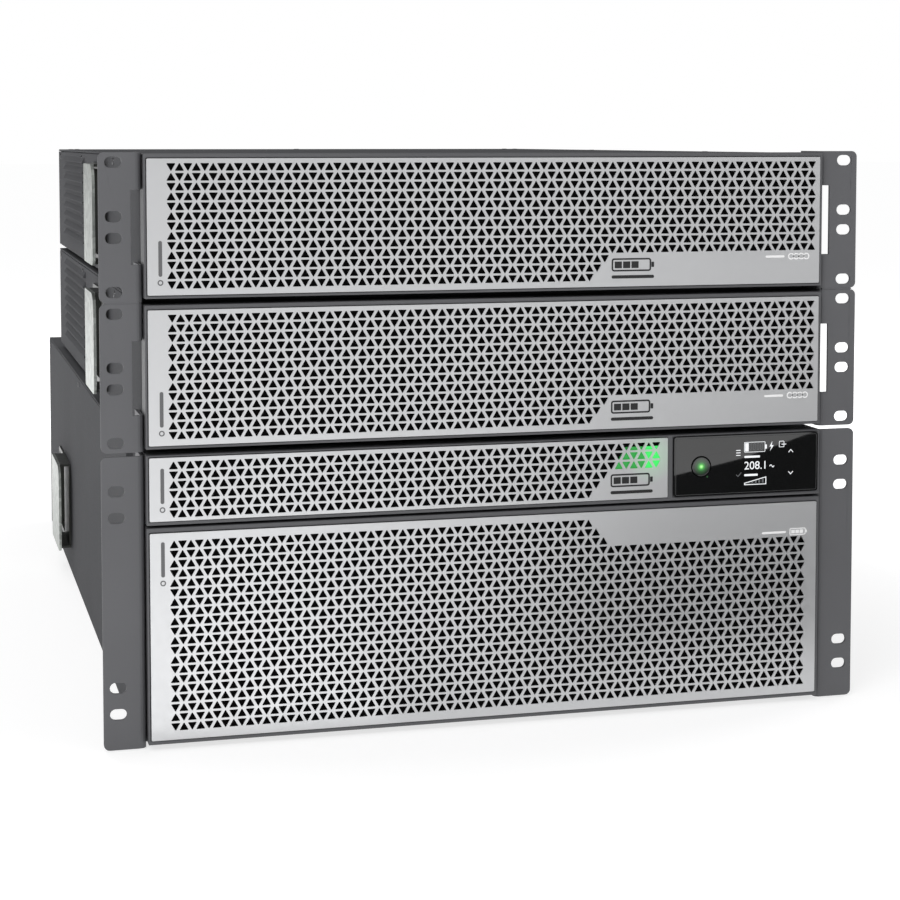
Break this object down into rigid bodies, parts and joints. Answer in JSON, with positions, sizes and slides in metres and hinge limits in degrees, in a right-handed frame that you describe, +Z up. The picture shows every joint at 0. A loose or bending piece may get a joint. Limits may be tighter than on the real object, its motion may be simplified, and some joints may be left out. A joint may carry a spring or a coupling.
{
  "type": "rackmount ups",
  "caption": "Rack-mounted power supply with a battery bay and display, under stacked slim transformer chassis with perforated fronts and slotted ears.",
  "frame": {"origin": "on the floor under the centre of the stack's bounding box", "axes": "+Z up, +Y from the front panel to the rear, +X to the right of a person facing the front"},
  "size_m": [0.4826, 0.776, 0.3551],
  "materials": {
    "chassis_paint": "dark grey fine-texture powder coat",
    "ear_paint": "dark grey satin powder coat",
    "bezel_plastic": "dark grey moulded, fine texture",
    "silver_plate": "satin silver, perforated with small triangles",
    "zinc_plate": "zinc plated, bright with a faint spangle",
    "display_gloss": "clear gloss over black",
    "button_plastic": "satin black",
    "light_guide": "clear diffuser lit green from behind",
    "black_plastic": "black glass-filled plastic",
    "battery_case": "dark moulded case",
    "circuit_board": "green solder mask",
    "heatsink_aluminium": "extruded, clear anodised",
    "bare_steel": "galvanised sheet",
    "card_metal": "nickel plated bracket",
    "core_steel": "varnished laminations",
    "copper_winding": "enamelled copper",
    "capacitor_sleeve": "dark blue shrink sleeve"
  },
  "bodies": {
    "root": {"ups_base_tray": "chassis_paint", "ups_top_cover": "chassis_paint", "ups_front_bezel": "bezel_plastic", "ups_upper_grille": "silver_plate", "status_light_guide": "light_guide", "display_lens": "display_gloss", "display_module": "black_plastic", "ups_ear_left": "ear_paint", "ups_ear_right": "ear_paint", "ups_handle_left": "zinc_plate", "ups_handle_right": "zinc_plate", "battery_bay_shelf": "bare_steel", "battery_backplane": "circuit_board", "power_board": "circuit_board", "inverter_heatsink": "heatsink_aluminium", "capacitor_bank": "capacitor_sleeve", "filter_inductor": "copper_winding", "ups_1_fan_frame": "black_plastic", "ups_2_fan_frame": "black_plastic", "outlet_panel": "black_plastic", "terminal_cover": "chassis_paint", "lower_transformer_tray": "chassis_paint", "lower_transformer_top_cover": "chassis_paint", "lower_transformer_bezel_frame": "bezel_plastic", "lower_transformer_grille": "silver_plate", "lower_transformer_ear_left": "ear_paint", "lower_transformer_ear_right": "ear_paint", "lower_transformer_handle_left": "zinc_plate", "lower_transformer_handle_right": "zinc_plate", "lower_transformer_core": "core_steel", "lower_transformer_winding": "copper_winding", "lower_transformer_fan_frame": "black_plastic", "lower_transformer_outlet_strip": "black_plastic", "upper_transformer_tray": "chassis_paint", "upper_transformer_top_cover": "chassis_paint", "upper_transformer_bezel_frame": "bezel_plastic", "upper_transformer_grille": "silver_plate", "upper_transformer_ear_left": "ear_paint", "upper_transformer_ear_right": "ear_paint", "upper_transformer_handle_left": "zinc_plate", "upper_transformer_handle_right": "zinc_plate", "upper_transformer_core": "core_steel", "upper_transformer_winding": "copper_winding", "upper_transformer_fan_frame": "black_plastic", "upper_transformer_outlet_strip": "black_plastic"},
    "battery_bezel": {"battery_bezel_frame": "bezel_plastic", "battery_bezel_grille": "silver_plate"},
    "battery_left": {"battery_pack_left": "battery_case", "battery_handle_left": "black_plastic"},
    "battery_right": {"battery_pack_right": "battery_case", "battery_handle_right": "black_plastic"},
    "power_key": {"power_button": "button_plastic"},
    "card": {"network_card": "card_metal"},
    "ups_breaker": {"breaker_lever": "button_plastic"},
    "ups_rotor_1": {"ups_1_fan_rotor": "black_plastic"},
    "ups_rotor_2": {"ups_2_fan_rotor": "black_plastic"},
    "lower_rotor": {"lower_transformer_fan_rotor": "black_plastic"},
    "upper_rotor": {"upper_transformer_fan_rotor": "black_plastic"},
    "lower_rocker": {"lower_transformer_breaker_rocker": "button_plastic"},
    "upper_rocker": {"upper_transformer_breaker_rocker": "button_plastic"}
  },
  "joints": [
    {"name": "power_key_press", "type": "slide", "parent": "root", "child": "power_key", "axis": [0, 1, 0], "range_m": [0, 0.0015], "stiffness_N_per_m": 400},
    {"name": "battery_bezel_pull", "type": "slide", "parent": "root", "child": "battery_bezel", "axis": [0, -1, 0], "range_m": [0, 0.42]},
    {"name": "battery_left_slide", "type": "slide", "parent": "root", "child": "battery_left", "axis": [0, -1, 0], "range_m": [0, 0.37]},
    {"name": "battery_right_slide", "type": "slide", "parent": "root", "child": "battery_right", "axis": [0, -1, 0], "range_m": [0, 0.37]},
    {"name": "network_card_slide", "type": "slide", "parent": "root", "child": "card", "axis": [0, 1, 0], "range_m": [0, 0.155]},
    {"name": "ups_breaker_throw", "type": "hinge", "parent": "root", "child": "ups_breaker", "pos_m": [0.128, 0.372, 0.129], "axis": [1, 0, 0], "range_deg": [-43, 0]},
    {"name": "ups_fan_1_spin", "type": "hinge", "parent": "root", "child": "ups_rotor_1", "pos_m": [-0.168, 0.364, 0.124], "axis": [0, 1, 0], "continuous": true},
    {"name": "ups_fan_2_spin", "type": "hinge", "parent": "root", "child": "ups_rotor_2", "pos_m": [-0.082, 0.364, 0.124], "axis": [0, 1, 0], "continuous": true},
    {"name": "lower_fan_spin", "type": "hinge", "parent": "root", "child": "lower_rotor", "pos_m": [-0.16, 0.271, 0.2221], "axis": [0, 1, 0], "continuous": true},
    {"name": "upper_fan_spin", "type": "hinge", "parent": "root", "child": "upper_rotor", "pos_m": [-0.16, 0.271, 0.311], "axis": [0, 1, 0], "continuous": true},
    {"name": "lower_rocker_tip", "type": "hinge", "parent": "root", "child": "lower_rocker", "pos_m": [0.146, 0.28, 0.2218], "axis": [1, 0, 0], "range_deg": [0, 16]},
    {"name": "upper_rocker_tip", "type": "hinge", "parent": "root", "child": "upper_rocker", "pos_m": [0.146, 0.28, 0.3107], "axis": [1, 0, 0], "range_deg": [0, 16]}
  ],
  "couplings": [
    {"joint": "battery_left_slide", "follows": "battery_bezel_pull", "ratio": 0.88},
    {"joint": "battery_right_slide", "follows": "battery_bezel_pull", "ratio": 0.88}
  ]
}
